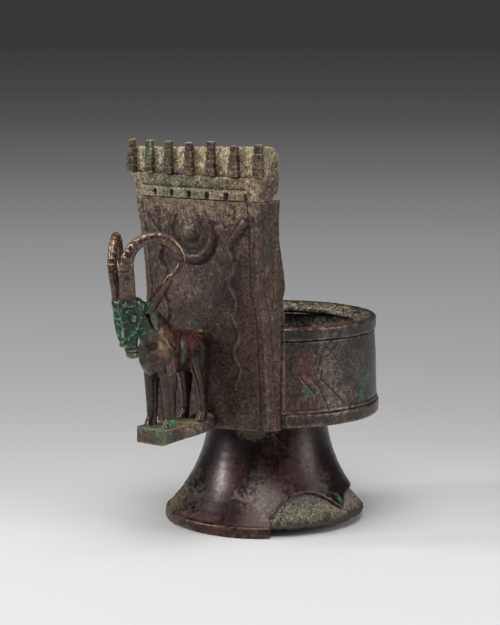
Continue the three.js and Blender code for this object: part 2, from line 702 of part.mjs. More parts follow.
// Front leg and hind leg on one side
function legs(sign, grow) {
  const top = PLINTH_BOTTOM + PLINTH_HEIGHT;
  const ring = ([x, y, z, w, d]) => oval(at(sign * x, y, z), X, Y, w + grow, d + grow, 12, 2.3);
  const leg = (stations) => solid(loft(stations.map(ring)));
  const front = leg([
    [5.8, -116.5, 130, 4, 8.4],
    [7, -116, 119, 4.2, 7],
    [7.9, -115.4, 108, 3.7, 5.2],
    [8.2, -114.8, 98, 3.3, 4.5],
    [8.3, -114.8, 89.5, 3.1, 4.1],
    [8.4, -115.8, 86.2, 3.4, 5],
    [8.4, -116.6, top, 3.6, 5.6],
  ]);
  const hind = leg([
    [5.8, -84.5, 133, 4.4, 9],
    [6.8, -83, 121, 4.4, 8.8],
    [7.6, -81.2, 110, 3.5, 6],
    [8, -80.5, 99, 2.8, 3.9],
    [8.1, -81, 90, 2.8, 3.4],
    [8.2, -82.4, 86.4, 3.1, 4.6],
    [8.2, -83.2, top, 3.3, 5.2],
  ]);
  return [front, hind];
}

function eye(sign, grow) {
  const ball = new THREE.SphereGeometry(EYE_RADIUS + grow, 12, 8);
  ball.scale(0.75, 1, 1);
  ball.translate(sign * 7, -149.4, EYE_HEIGHT + 1.6 * sign);
  return solid(ball);
}

// A horn rises from the brow, curls back over the neck and comes down to the tip
const hornAcross = (sign) => at(sign * Math.sin(rad(HORN_SPLAY)), Math.cos(rad(HORN_SPLAY)), 0);

function hornPoint(sign, t) {
  const rise = 0.2;
  const front = -1.6;
  const u = new THREE.Vector2();
  if (t < rise) {
    u.set(front, mix(HORN_LOOP_Z - 27, HORN_LOOP_Z, t / rise));
  } else {
    const turn = Math.PI - ((t - rise) / (1 - rise)) * rad(HORN_SWEEP);
    const radius = HORN_LOOP - HORN_CURL * smooth(t, 0.8, 1.06);
    u.set(HORN_LOOP + front + radius * Math.cos(turn), HORN_LOOP_Z + radius * Math.sin(turn));
  }
  if (sign < 0) u.y -= LEFT_HORN_DROP * smooth(t, 0.05, 0.3);
  const gather = 1 - smooth(t, 0, 0.24);
  const place = at(sign * (HORN_ROOT_X - 2 * gather), HORN_ROOT_Y + 2.8 * gather, u.y);
  return place.addScaledVector(hornAcross(sign), u.x);
}

function horn(sign, grow = 0) {
  const rings = [];
  for (let i = 0; i <= HORN_RINGS; i++) {
    const t = i / HORN_RINGS;
    const before = hornPoint(sign, Math.max(0, t - 0.01));
    const ahead = hornPoint(sign, Math.min(1, t + 0.01)).sub(before).normalize();
    const side = hornAcross(sign).cross(Z).normalize();
    const out = side.clone().cross(ahead).normalize();
    const ribbed = smooth(t, 0.16, 0.22) * (1 - smooth(t, 0.52, 0.62));
    const rib = ribbed * HORN_RIB * (-1) ** i;
    const tip = smooth(t, 0.86, 1);
    const deep = 3 + 3.2 * (1 - t) ** 2.2 - 0.5 * tip + rib + grow;
    const wide = 2.3 + 1.4 * (1 - t) ** 1.6 - 0.4 * tip + 0.5 * rib + grow;
    rings.push(oval(hornPoint(sign, t), out, side, deep, wide, 10, 2.3));
  }
  return solid(loft(rings));
}

// Strut from the back of the head to the tip of the horn
function strut(sign, grow = 0) {
  const tip = hornPoint(sign, 1);
  const low = at(sign * 6, -134.5, 164.5);
  const high = tip.clone().add(at(sign * -0.4, 1.4, 0.6));
  const rings = [];
  const ahead = high.clone().sub(low).normalize();
  const side = ahead.clone().cross(X).normalize();
  const across = side.clone().cross(ahead);
  for (let i = 0; i <= 8; i++) {
    const t = i / 8;
    const centre = low.clone().lerp(high, t);
    const wide = mix(4, 2.3, t) + grow;
    rings.push(oval(centre, across, side, wide, mix(6.2, 2.6, t ** 0.7) + grow, 10, 2.2));
  }
  return solid(loft(rings));
}

// Drooping ear: a leaf that hangs beside the cheek
function ear(sign) {
  const top = at(sign * 8.4, -133.5, 168);
  const tip = at(sign * 10.2, -129.5, 151.5);
  const ahead = tip.clone().sub(top).normalize();
  const side = ahead.clone().cross(X).normalize();
  const across = side.clone().cross(ahead);
  const rings = [];
  for (let i = 0; i <= 8; i++) {
    const t = i / 8;
    const leaf = 0.9 + 2.7 * Math.sin(Math.PI * Math.min(1, t * 0.92 + 0.08)) ** 0.8;
    rings.push(oval(top.clone().lerp(tip, t), across, side, 1.5 - 0.5 * t, leaf, 10));
  }
  return solid(loft(rings));
}

// Assembly
const room = facadeRoom();
add("foot_shell", geometryOf(footShell()), "bronze_dark");
add("foot_core", footCore(), "casting_core");
add("cup_base", geometryOf(cupBase(room)), "bronze_brown");
add("cup_wall", cupWall(), "bronze_brown");
add("cup_rim", geometryOf(cupRim(room)), "bronze_brown");
add("facade_panel", geometryOf(facadePanel()), "bronze_brown");
add("parapet", parapet(), "bronze_crust");
add("dentil_course", geometryOf(dentilRow()), "bronze_crust");
for (let k = 0; k < MERLONS; k++) {
  const x = (k - (MERLONS - 1) / 2) * MERLON_PITCH;
  add(`merlon_${k + 1}`, merlon(x, MERLON_LOSS[k]), "bronze_crust");
}
add("sun_disc", sunDisc(), "bronze_brown");
add("crescent", crescent(), "bronze_brown");
add("snake_left", snake(-1), "bronze_brown");
add("snake_right", snake(1), "bronze_brown");
add("ibex_plinth", plinth(), "bronze_green");
add("plinth_joint", joint(), "bronze_green");
add("ibex_body", geometryOf(ibex()), "bronze_green");
const bodyRoom = ibex(SEAT);
for (const [side, sign] of [["left", -1], ["right", 1]]) {
  const hornRoom = horn(sign, SEAT);
  add(`horn_${side}`, geometryOf(cut(horn(sign), bodyRoom)), "bronze_brown");
  add(`horn_strut_${side}`, geometryOf(cut(strut(sign), bodyRoom, hornRoom)), "bronze_brown");
  add(`ear_${side}`, geometryOf(largest(cut(ear(sign), bodyRoom, strut(sign, SEAT)))), "bronze_green");
}

// The origin is the middle of the ground that the burner covers
const ground = new THREE.Box3().setFromObject(group);
for (const mesh of group.children) mesh.geometry.translate(0, -(ground.min.y + ground.max.y) / 2, 0);

export default group;
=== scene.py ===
import math

import bmesh
import bpy
import numpy as np
from mathutils import Matrix, Vector


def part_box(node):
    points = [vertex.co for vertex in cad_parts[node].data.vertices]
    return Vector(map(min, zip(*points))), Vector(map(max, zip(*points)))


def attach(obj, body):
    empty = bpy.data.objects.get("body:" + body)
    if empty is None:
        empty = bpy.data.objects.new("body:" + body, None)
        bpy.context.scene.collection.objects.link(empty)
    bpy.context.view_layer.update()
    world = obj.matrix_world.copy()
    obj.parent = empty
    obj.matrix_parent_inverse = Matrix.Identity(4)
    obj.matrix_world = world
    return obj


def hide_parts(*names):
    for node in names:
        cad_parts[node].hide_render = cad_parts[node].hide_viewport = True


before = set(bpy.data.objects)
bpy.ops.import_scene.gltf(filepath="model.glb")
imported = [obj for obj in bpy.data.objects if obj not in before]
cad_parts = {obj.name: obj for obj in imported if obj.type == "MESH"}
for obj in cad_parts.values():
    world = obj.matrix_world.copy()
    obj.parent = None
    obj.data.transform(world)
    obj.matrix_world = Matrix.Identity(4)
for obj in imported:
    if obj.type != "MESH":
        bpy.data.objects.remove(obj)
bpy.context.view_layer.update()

# Foot shell: the flared foot of the main bronze casting, hollow below, its lip broken away in front.
# Dark brown waxed patina, glossy on the left and redder to the right, rough and dusty low on the left.
low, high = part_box("foot_core")
AXIS_Y = (low.y + high.y) / 2  # metres; places in mm are measured from this upright axis
ROUGH_PATCH = (-45, -48, 16)  # middle of the rough patch: rough up to 18 mm off and 7 mm above and below


def read(mesh, what="co"):
    values = np.empty(len(mesh.vertices) * 3, np.float32)
    mesh.vertices.foreach_get(what, values)
    return values.reshape(-1, 3).astype(float)


def write(piece, points):
    piece.data.vertices.foreach_set("co", points.astype(np.float32).ravel())
    piece.data.update()


def smoothed(piece, rounds):
    """The mesh with its modifiers and some rounds of smoothing made part of it"""
    if rounds:
        smooth = piece.modifiers.new("smooth", "SMOOTH")
        smooth.factor = 0.5
        smooth.iterations = rounds
    graph = bpy.context.evaluated_depsgraph_get()
    mesh = bpy.data.meshes.new_from_object(piece.evaluated_get(graph))
    piece.modifiers.clear()
    return mesh


def skin(name, nodes, voxel, rounds, sides=None, turn=-90, span=360, nudge=None):
    """One dense skin over copies of CAD solids. Some are nudged a little, in mm, to meet the others.
    A round form of so many sides, spread over the span from the turn in degrees, loses its facets."""
    bm = bmesh.new()
    for node in nodes:
        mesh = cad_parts[node].data.copy()
        shift = Vector((nudge or {}).get(node, (0, 0, 0))) / 1000
        mesh.transform(Matrix.Translation(shift))
        bm.from_mesh(mesh)
        bpy.data.meshes.remove(mesh)
    mesh = bpy.data.meshes.new(name)
    bm.to_mesh(mesh)
    bm.free()
    piece = bpy.data.objects.new(name, mesh)
    bpy.context.scene.collection.objects.link(piece)
    remesh = piece.modifiers.new("remesh", "REMESH")
    remesh.mode = "VOXEL"
    remesh.voxel_size = voxel / 1000
    piece.data = smoothed(piece, 0)
    if sides:
        points = read(piece.data)
        angle = np.arctan2(points[:, 1] - AXIS_Y, points[:, 0]) - math.radians(turn)
        step = math.radians(span) / sides
        swell = np.cos(np.mod(angle, step) - step / 2) / math.cos(step / 2)
        points[:, 0] *= swell
        points[:, 1] = AXIS_Y + (points[:, 1] - AXIS_Y) * swell
        write(piece, points)
    piece.data = smoothed(piece, rounds)
    piece.data.shade_smooth()
    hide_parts(*nodes)
    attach(piece, "root")
    return piece


def over(value, start, end):
    """0 up to the start and 1 from the end on"""
    return np.clip((value - start) / (end - start), 0, 1)


SEED_STEP = 17.31  # how far apart the noises of two seeds lie
SCATTER = (73856093, 19349663, 83492791)  # large primes that number the cells of the noise
STIR = ((13, 1274126177), (15, 2246822519))  # shifts and factors that mix a cell's number up


def field(p, size, seed):
    """Smooth random values from -1 to 1 with bumps of this size, at points in mm"""
    q = p / size + seed * SEED_STEP
    cell = np.floor(q).astype(np.int64)
    f = q - cell
    f = f * f * (3 - 2 * f)
    total = np.zeros(len(p))
    for corner in range(8):
        d = np.array([corner & 1, corner >> 1 & 1, corner >> 2])
        number = np.bitwise_xor.reduce((cell + d) * SCATTER, axis=1)
        for shift, factor in STIR:
            number = ((number ^ (number >> shift)) * factor) & 0xFFFFFFFF
        value = (number >> 8 & 0xFFFF) / (0xFFFF / 2) - 1
        total += value * np.where(d == 1, f, 1 - f).prod(axis=1)
    return total


def fractal(p, size, octaves, seed, keep=0.55):
    """Bumps of this size with finer ones on them, each octave half the size and less strong"""
    return sum(keep**k * field(p, size / 2**k, seed + k) for k in range(octaves))


def ragged(p, size, seed, middle, swing, most):
    """Depth in mm to which a broken edge is eaten away"""
    return (middle + swing * fractal(p, size, 3, seed)).clip(0, most)


CALM_ROUNDS = 40  # rounds of smoothing that take the wear out again, to tell edges from hollows
FULL_FORM = 0.4  # mm off that calm surface at which an edge or a hollow counts in full


def weather(piece, wear, lift):
    """Moves each point along its normal by wear(points, normals) in mm, and never out past the lift.
    Then it notes in "form" where the surface stands proud, 1, or lies in a hollow, -1."""
    points = read(piece.data)
    normals = read(piece.data, "normal")
    p = (points - [0, AXIS_Y, 0]) * 1000
    points += normals * (np.minimum(wear(p, normals), lift) / 1000)[:, None]
    write(piece, points)
    calm = smoothed(piece, CALM_ROUNDS)
    form = ((points - read(calm)) * read(piece.data, "normal")).sum(axis=1) * 1000 / FULL_FORM
    bpy.data.meshes.remove(calm)
    note = piece.data.attributes.new("form", "FLOAT", "POINT")
    note.data.foreach_set("value", form.clip(-1, 1).astype(np.float32))


class Wire:
    """An output of a shader node that adds and multiplies like a number"""

    def __init__(self, tree, socket):
        self.tree = tree
        self.socket = socket

    def do(self, operation, first, second=0.0, clamp=False):
        settings = {"operation": operation, "use_clamp": clamp}
        return Nodes(self.tree).node("ShaderNodeMath", settings, {0: first, 1: second})

    def __add__(self, other):
        return self.do("ADD", self, other)

    def __sub__(self, other):
        return self.do("SUBTRACT", self, other)

    def __rsub__(self, other):
        return self.do("SUBTRACT", other, self)

    def __mul__(self, other):
        return self.do("MULTIPLY", self, other)

    def __truediv__(self, other):
        return self.do("DIVIDE", self, other)

    def __rtruediv__(self, other):
        return self.do("DIVIDE", other, self)

    def __abs__(self):
        return self.do("ABSOLUTE", self)

    def over(self, start, end):
        """0 up to the start and 1 from the end on"""
        return self.do("DIVIDE", self - start, end - start, clamp=True)

    __radd__ = __add__
    __rmul__ = __mul__


def tint(code):
    """Linear colour from a six-digit screen colour"""
    parts = [int(code[i : i + 2], 16) / 255 for i in (0, 2, 4)]
    return (*[c / 12.92 if c <= 0.04045 else ((c + 0.055) / 1.055) ** 2.4 for c in parts], 1.0)


class Nodes:
    """A node tree that grows node by node"""

    def __init__(self, tree):
        self.tree = tree

    def node(self, kind, settings=None, values=None, output=0):
        node = self.tree.nodes.new(kind)
        for key, value in (settings or {}).items():
            setattr(node, key, value)
        for key, value in (values or {}).items():
            self.feed(node.inputs[key], value)
        return Wire(self.tree, node.outputs[output])

    def feed(self, socket, value):
        if isinstance(value, Wire):
            self.tree.links.new(value.socket, socket)
        else:
            socket.default_value = value

    def mix(self, amount, first, second, mode="MIX"):
        settings = {"data_type": "RGBA", "blend_type": mode}
        return self.node("ShaderNodeMix", settings, {0: amount, 6: first, 7: second}, output=2)

    def vector(self, operation, first, second=(0, 0, 0)):
        output = "Value" if operation == "LENGTH" else "Vector"
        return self.node("ShaderNodeVectorMath", {"operation": operation}, {0: first, 1: second}, output)


class Paint(Nodes):
    """A node material built up in layers: colour, roughness, metal and bump"""

    def __init__(self, name, code, rough, metal=0.0, tooth=1.0):
        self.material = bpy.data.materials.new(name)
        self.material.use_nodes = True
        super().__init__(self.material.node_tree)
        self.shader = self.tree.nodes["Principled BSDF"]
        here = self.node("ShaderNodeTexCoord", output="Object")
        self.place = self.vector("MULTIPLY", self.vector("SUBTRACT", here, (0, AXIS_Y, 0)), (1000,) * 3)
        self.normal = self.node("ShaderNodeNewGeometry", output="Normal")
        form = self.node("ShaderNodeAttribute", {"attribute_name": "form"}, output="Fac")
        self.raised = form.over(0.15, 0.8)
        self.hollow = (0 - form).over(0.06, 0.55)
        self.patch = self.noise(9, 7, 0.66, 0.7, 31)
        self.speck = self.noise(2.8, 5, 0.72, 0.3, 57)
        self.grain = self.noise(1.6, 1.5, 0.7, 0, 83)
        self.colour = tint(code)
        self.rough = rough
        self.metal = metal
        self.bump = (self.speck * 0.6 + self.grain * 0.4) * tooth

    def noise(self, size, detail, rough, warp, offset=0.0):
        """Noise about 0.5, mostly from 0 to 1, with patches of this size in mm"""
        moved = self.vector("ADD", self.place, (offset, offset * 0.7, -offset))
        kind = {"Scale": 1 / size, "Detail": detail, "Roughness": rough, "Distortion": warp}
        wave = self.node("ShaderNodeTexNoise", None, {"Vector": moved, **kind})
        return wave * 2.6 - 0.8  # spread out about its middle

    def along(self, axis):
        """The place along X, Y or Z in mm"""
        return self.node("ShaderNodeSeparateXYZ", None, {0: self.place}, output=axis)

    def up(self):
        return self.node("ShaderNodeSeparateXYZ", None, {0: self.normal}, output=2)

    def away(self, centre, axes=(1, 1, 1)):
        """Distance in mm from a point, along the axes that are 1"""
        apart = self.vector("MULTIPLY", self.vector("SUBTRACT", self.place, centre), axes)
        return self.vector("LENGTH", apart)

    def spot(self, centre, radius, stretch, strength=1.0):
        """A ragged patch round a point in mm, broken up at every scale"""
        apart = self.vector("DIVIDE", self.vector("SUBTRACT", self.place, centre), stretch)
        area = 1 - self.vector("LENGTH", apart) / radius
        return (area * 1.6 + self.patch * 1.3 + self.speck).over(1.75, 2.35) * strength

    def layer(self, mask, code, rough=None, metal=None, thick=0.0):
        """Lays a finish over what is there, where the mask is 1"""
        self.colour = self.mix(mask, self.colour, tint(code))
        if rough is not None:
            self.rough = mask * (rough - self.rough) + self.rough
        if metal is not None:
            self.metal = mask * (metal - self.metal) + self.metal
        if thick:
            self.bump = self.bump + mask * thick

    def spots(self, *rows):
        """Layers in ragged patches. A row is centre, radius, stretch, strength and what a layer takes."""
        for centre, radius, stretch, strength, *finish in rows:
            self.layer(self.spot(centre, radius, stretch, strength), *finish)

    def finish(self, depth, coat, specular):
        values = {"Strength": 1.0, "Distance": depth / 1000, "Height": self.bump}
        self.feed(self.shader.inputs["Base Color"], self.colour)
        self.feed(self.shader.inputs["Roughness"], self.rough)
        self.feed(self.shader.inputs["Metallic"], self.metal)
        self.feed(self.shader.inputs["Normal"], self.node("ShaderNodeBump", None, values))
        self.feed(self.shader.inputs["Coat Weight"], coat)
        self.shader.inputs["Coat Roughness"].default_value = 0.2
        self.shader.inputs["Specular IOR Level"].default_value = specular
        return self.material


def bronze(name, dark, warm, film, shine, warmth, filmy, tooth=1.0):
    """Bronze under a dark and a warm patina, with a paler film over both in ragged patches. From 0 to 1:
    how polished it is, how far the warm patina and the film spread, and how rough it is to the touch."""
    paint = Paint(name, dark, 0.8 - 0.5 * shine, 0.5, tooth)
    slow = paint.noise(26, 7, 0.66, 0.6)
    paint.layer((slow + paint.speck * 0.4).over(1.1 - warmth, 1.5 - warmth), warm)
    haze = paint.noise(12, 8, 0.74, 0.7, 19)
    haze = (haze + paint.speck * 0.45).over(1.25 - filmy, 1.65 - filmy)
    paint.layer(haze * 0.9, film, 0.85 - 0.42 * shine)
    paint.rough = paint.rough + (paint.speck - 0.5) * 0.2
    return paint


# dark for the dirt and painted shade in hollows
HOLLOW_BLACK = "15110f"
CRACK_BLACK = "120e0c"


def age(paint, dust, green, edges, dusty, greenish, worn, pitted, cracked, contrast):
    """Dust, specks of green, dirt and painted shade in the hollows, cracks, pits, fine speckle and rubbed
    edges, each as strong as its number"""
    dirt = (paint.patch * 0.6 + paint.speck * 0.7).over(1.1 - 0.4 * dusty, 1.35 - 0.4 * dusty)
    paint.layer(dirt * 0.85, dust, 0.85, 0.1, 0.3)
    bloom = paint.noise(4.5, 7, 0.76, 1.0, 121)
    bloom = (bloom + paint.speck * 0.5).over(1.35 - 0.4 * greenish, 1.5 - 0.4 * greenish)
    paint.layer(bloom, green, 0.7, 0.0, 0.3)
    # dirt and painted shade darken the hollows
    paint.layer(paint.hollow * 0.8, HOLLOW_BLACK, 0.9, 0.1)
    crack = 1 - abs(paint.noise(11, 6, 0.62, 1.2, 151) - 0.5).over(0.0, 0.05)
    crack = crack * paint.patch.over(1.05 - cracked, 1.25 - cracked)
    paint.layer(crack * 0.85, CRACK_BLACK, 0.9, 0.1, -0.6)
    pits = (1 - paint.noise(2.4, 4, 0.8, 0.4, 207)) * 0.7 + (1 - paint.grain) * 0.3
    pits = pits.over(0.78, 0.92) * paint.patch.over(0.9 - pitted, 1.2 - pitted)
    paint.layer(pits * 0.9, CRACK_BLACK, 0.9, 0.1, -0.8)
    flecks = (paint.noise(1.9, 4, 0.8, 0.4, 263) * 0.7 + paint.grain * 0.3).over(0.84, 0.98)
    paint.layer(flecks * (paint.patch + 0.2).over(0.3, 0.9) * 0.6, edges, 0.5, 0.4, 0.3)
    darker = (1 - contrast,) * 3 + (1,)
    paler = (1 + contrast * 1.5, 1 + contrast * 1.4, 1 + contrast * 1.25, 1)
    mottle = paint.noise(2.4, 1.5, 0.7, 0.8, 333)
    fine = paint.mix((paint.grain * 0.4 + mottle * 0.6).over(0.15, 0.95), darker, paler)
    paint.colour = paint.mix(1.0, paint.colour, fine, "MULTIPLY")
    rubbed = paint.raised * (paint.patch * 0.8 + paint.speck * 0.8).over(0.55, 1.25)
    paint.layer(rubbed * worn, edges, 0.4, 0.6)


def dress(pieces, paint, depth, coat=0.0, specular=0.5):
    """Puts one paint on pieces, with bumps of this depth in mm"""
    material = paint.finish(depth, coat, specular)
    for piece in pieces:
        piece.data.materials.clear()
        piece.data.materials.append(material)


def foot_wear(p, n):
    apart = np.abs(p - ROUGH_PATCH)
    rough = over(np.hypot(apart[:, 0], apart[:, 1]), 48, 18) * over(apart[:, 2], 21, 7)
    grit = 0.4 * fractal(p, 4.5, 3, 8) - 0.15
    lip = over(n[:, 2], 0, -0.625) * (p[:, 2] < 3)
    return 0.28 * fractal(p, 26, 2, 3) - 0.1 + rough * grit - lip * ragged(p, 8, 12, 0.7, 1.1, 2.2)


foot = skin("foot_casting", ["foot_shell"], voxel=0.75, rounds=8, sides=56)
weather(foot, foot_wear, lift=0.25)
foot_paint = bronze(
    "foot_patina", dark="1a1110", warm="2e1714", film="362a25",
    shine=0.9, warmth=0.55, filmy=0.25, tooth=0.1,
)
foot_paint.spots(
    ((40, -54, 29), 30, (1.2, 1.2, 0.75), 0.85, "675b54", 0.5, 0.35),  # painted sheen, grey, above the break
    ((-40, -56, 16), 56, (1, 1, 0.55), 1.0, "3b3329", 0.6, 0.3, 0.3),  # dull olive low on the left
)
dusty_side = foot_paint.spot((-46, -50, 14), 46, (1, 1, 0.6))
foot_paint.layer(dusty_side * 0.8, "4f4531", 0.8, 0.2, 0.4)
foot_paint.layer(dusty_side * foot_paint.grain.over(0.6, 0.85), "94795a", 0.85, 0.1, 0.4)
foot_paint.spots(
    ((-16, -72, 10), 30, (1.6, 1, 0.3), 0.7, "4c2c26", 0.45),  # red along the lip
    ((12, -72, 4), 34, (1.6, 1, 0.2), 0.7, "4a2a25", 0.4),
    ((50, -36, 50), 40, (1, 1, 1.1), 0.8, "43282a", 0.6),  # matt red to the right
    ((62, -8, 34), 22, (1, 1, 1), 0.8, "55302a", 0.6),
    ((64, -9, 31), 21, (1, 1, 0.9), 0.85, "2c4438", 0.5, 0.2),  # green at the right
    ((65, 2, 32), 16, (0.7, 0.7, 1.4), 0.9, "3c7d62", 0.7, 0.0, 0.3),
    ((22, -42, 70), 22, (1.4, 1, 0.5), 0.7, "5f5546", 0.75, 0.2, 0.3),  # dust under the cup
)
age(
    foot_paint, dust="75644e", green="3f7a62", edges="a08468",
    dusty=-0.1, greenish=-0.3, worn=0.4, pitted=0.05, cracked=0.1, contrast=0.35,
)
on_the_left = (foot_paint.along(0) * 0.8 - foot_paint.along(1) * 0.2 + foot_paint.patch * 12).over(52, 30)
higher_up = (foot_paint.along(2) + foot_paint.patch * 14).over(20, 60)
dress([foot], foot_paint, depth=0.3, coat=on_the_left * (higher_up * 0.2 + 0.08))

# Casting core: the gritty clay and sand left inside the hollow foot, laid bare where the lip is gone.
# Pale grey and beige grit, with painted shade: blue-grey under the broken arch, dark along the ragged
# underside and, with dirt, in the hollows.
CORE_LIP = 9  # mm up, where the ragged underside begins


def core_wear(p, n):
    under = over(p[:, 2], CORE_LIP, CORE_LIP - 4)
    grit = 0.3 * fractal(p, 9, 2, 2) + 0.3 * field(p, 1.9, 3) - 0.35
    return grit - under * ragged(p, 5, 9, 0.4, 0.9, 2)


core = skin("foot_clay_core", ["foot_core"], voxel=0.8, rounds=3, sides=40)
weather(core, core_wear, lift=0.25)
clay = Paint("clay_core", "8e8778", rough=0.96)
grit = clay.noise(1.2, 3, 0.8, 0, 301)
clay.layer(clay.noise(14, 6, 0.7, 0.4, 9).over(0.4, 0.9), "99917b")
clay.layer(grit.over(0.55, 0.85), "cfc3a8", thick=0.5)
clay.layer((1 - grit).over(0.58, 0.82) * 0.9, "46423a", thick=-0.7)
clay.layer((1 - clay.grain).over(0.7, 0.9) * 0.9, "2f2d29", thick=-0.4)
# painted shade, blue-grey, under the broken arch
under_arch = (clay.along(2) + clay.patch * 9).over(22, 29)
clay.layer(under_arch * 0.7, "5c6166")
# painted shade along the ragged underside
underside = (clay.patch * 7 - clay.along(2)).over(-9.5, -5.5)
clay.layer(underside * 0.85, "3a3731")
# dirt and painted shade in the hollows
clay.layer(clay.hollow * 0.6, "2c2a26")
dress([core], clay, depth=0.7, specular=0.15)

# Cup: base course, wall and turned-in rim of the main casting. Outside dark with a fine raised frame
# round the wall and old scratches, inside coated with a coarse grey crust of ash and corrosion.
CUP_FLOOR = 87  # mm up, as all heights here
WALL_FOOT = 88.4
WALL_TOP = 138.4
RIM_TOP = 145
CUT_END = 43.8  # degrees in front of the X axis, where wall and rim end at the facade
FACE = 75.5  # radius from which a point is on the outside of the wall
LINING = 74.5  # and up to which it is on the inside
BEAD = 64.4  # radius of the raised bead round the mouth
FRAME_CORNER = 5
UNROLLED = 77  # radius at which the wall is laid flat to draw on it
SCRATCHES = (  # from, to: along the wall and up it, width, depth
    ((-45, 117), (-33, 103), 1.3, -0.4),
    ((-46, 114), (-35, 101), 0.5, 0.8),
    ((-31, 112), (-9, 92), 0.5, 0.9),
    ((-26, 127), (-17, 135), 0.5, 0.8),
    ((-30, 131), (-22, 138), 0.45, 0.7),
    ((-31, 103), (-27, 96), 0.5, 0.8),
    ((-27, 96), (-25, 90), 0.5, 0.8),
    ((-31, 112), (-30, 118), 0.5, 0.7),
)
COURSES = (  # piece, CAD node, mesh, how far wear may lift it
    ("cup_base_course", "cup_base", {"voxel": 0.75, "rounds": 4, "sides": 60}, 0.0),
    (
        "cup_wall_casting", "cup_wall",
        {"voxel": 0.62, "rounds": 5, "sides": 46, "turn": -CUT_END, "span": 180 + 2 * CUT_END}, 0.6,
    ),
    ("cup_rim_casting", "cup_rim", {"voxel": 0.62, "rounds": 3, "sides": 60}, 1.0),
)


def ridge(away, width):
    """1 along a line, falling off over the width with the distance away from it"""
    return np.exp(-((away / width) ** 2))


def stroke(p, ends, width):
    """A ridge along a straight line between two points in mm"""
    a, b = (np.array(end, float) for end in ends)
    along = np.clip((p - a) @ (b - a) / ((b - a) @ (b - a)), 0, 1)
    return ridge(np.linalg.norm(p - a - along[:, None] * (b - a), axis=1), width)


def frame_round_wall(radius, angle, z):
    """The raised line and the groove beside it that frame the wall, with rounded lower corners"""
    from_side = (angle + math.radians(CUT_END)) * radius
    from_foot = z - WALL_FOOT
    inward = np.minimum(from_side, from_foot)
    in_corner = (from_side < FRAME_CORNER) & (from_foot < FRAME_CORNER)
    round_in = FRAME_CORNER - np.hypot(FRAME_CORNER - from_side, FRAME_CORNER - from_foot)
    inward = np.where(in_corner, round_in, inward)
    return ridge(inward - 1.3, 0.8) - 0.5 * ridge(inward - 3, 0.7)


def cup_wear(p, n):
    x, y, z = p.T
    radius = np.hypot(x, y)
    outward = (n[:, 0] * x + n[:, 1] * y) / np.maximum(radius, 1)
    across = np.abs(n[:, 1] * x - n[:, 0] * y) / np.maximum(radius, 1)
    inside = over(radius, LINING, LINING - 1.5) * over(outward, 0.6, -0.4) * (z > CUP_FLOOR)
    plain = 0.2 * fractal(p, 18, 2, 14) + 0.05 * fractal(p, 3, 2, 17)
    crusty = 0.55 * fractal(p, 5, 3, 19) - 0.15
    shape = plain * (1 - inside) + crusty * inside - 0.06
    outside = over(radius, FACE, FACE + 1)
    wall = outside * (z > WALL_FOOT + 0.2) * (z < WALL_TOP - 0.2)
    shape += wall * 0.5 * frame_round_wall(radius, np.arctan2(y, np.abs(x)), z)
    flat = np.stack([UNROLLED * np.arctan2(y, x), z], axis=1)
    for start, end, width, depth in SCRATCHES:
        shape -= wall * depth * stroke(flat, (start, end), width)
    shape += 1.1 * ridge(radius - BEAD, 1.5) * over(n[:, 2], 0.4, 0.9) * (z > RIM_TOP - 3)
    shape += 0.7 * over(across, 0.5, 1) * (y < -30)  # the cut ends reach the facade
    under_rim = over(n[:, 2], 0, -1) * outside * (np.abs(z - WALL_TOP) < 1.5)
    return shape - under_rim * ragged(p, 12, 23, 0.5, 0.8, 1.5)


cup_paint = bronze(
    "cup_patina", dark="272220", warm="33261f", film="45403a",
    shine=0.85, warmth=0.5, filmy=0.5, tooth=0.5,
)
cup_paint.spots(
    ((64, -42, 110), 46, (1, 1, 0.9), 0.7, "40302a", 0.55),  # brown and red beside the facade
    ((60, -48, 97), 30, (1, 1, 0.8), 0.6, "4d3329", 0.6),
    ((66, -40, 120), 18, (1, 1, 1.2), 0.35, "63382f", 0.6),
    ((75, -24, 112), 26, (0.7, 0.7, 2.2), 0.5, "5f5650", 0.36, 0.5),  # painted reflection of a lamp, a bright band up the wall
    ((76, -14, 97), 22, (1, 1, 0.9), 0.7, "62534a", 0.45, 0.4),
    ((77, 4, 116), 30, (1, 1, 0.8), 0.6, "454133", 0.7, 0.1, 0.3),  # olive, with green specks
    ((74, 18, 108), 14, (1, 0.6, 1.3), 0.45, "2f5645", 0.7, 0.0, 0.3),
    ((67.5, -39, 103), 10, (1, 1, 0.8), 0.5, "2f5c46", 0.7, 0.0, 0.3),
    ((76, 8, 96), 12, (1, 0.7, 1.2), 0.4, "2f5645", 0.7, 0.0, 0.3),
)
age(
    cup_paint, dust="8a7a62", green="33694f", edges="ab9078",
    dusty=0.1, greenish=0.05, worn=0.45, pitted=0.45, cracked=0.35, contrast=0.8,
)
radius = cup_paint.away((0, 0, 0), (1, 1, 0))
height = cup_paint.along(2)
beside_facade = (cup_paint.away((63, -78, 147)) - 78).over(24, 0)
lip = (FACE - radius).over(0, 4) * height.over(RIM_TOP, RIM_TOP + 1)
dusty_lip = lip * (cup_paint.patch * 0.6 + cup_paint.speck).over(0.65, 1.05) * (1 - beside_facade * 0.8)
cup_paint.layer(dusty_lip, "83775d", 0.9, 0.0, 0.5)
bead = (radius - 61).over(0, 0.6) * (66.5 - radius + cup_paint.patch * 4).over(1.5, 3)
bead = bead * height.over(RIM_TOP - 1.5, RIM_TOP - 0.5) * beside_facade
cup_paint.layer(bead * (cup_paint.speck + 0.5).over(0.5, 0.9), "6e3220", 0.7, 0.2)
ash = (LINING - 0.5 - radius + cup_paint.speck).over(0, 1.4) * (0.5 - cup_paint.up()).over(-0.3, 0.2)
ash = ash * (RIM_TOP + 0.2 - height + cup_paint.speck).over(0, 1.5)
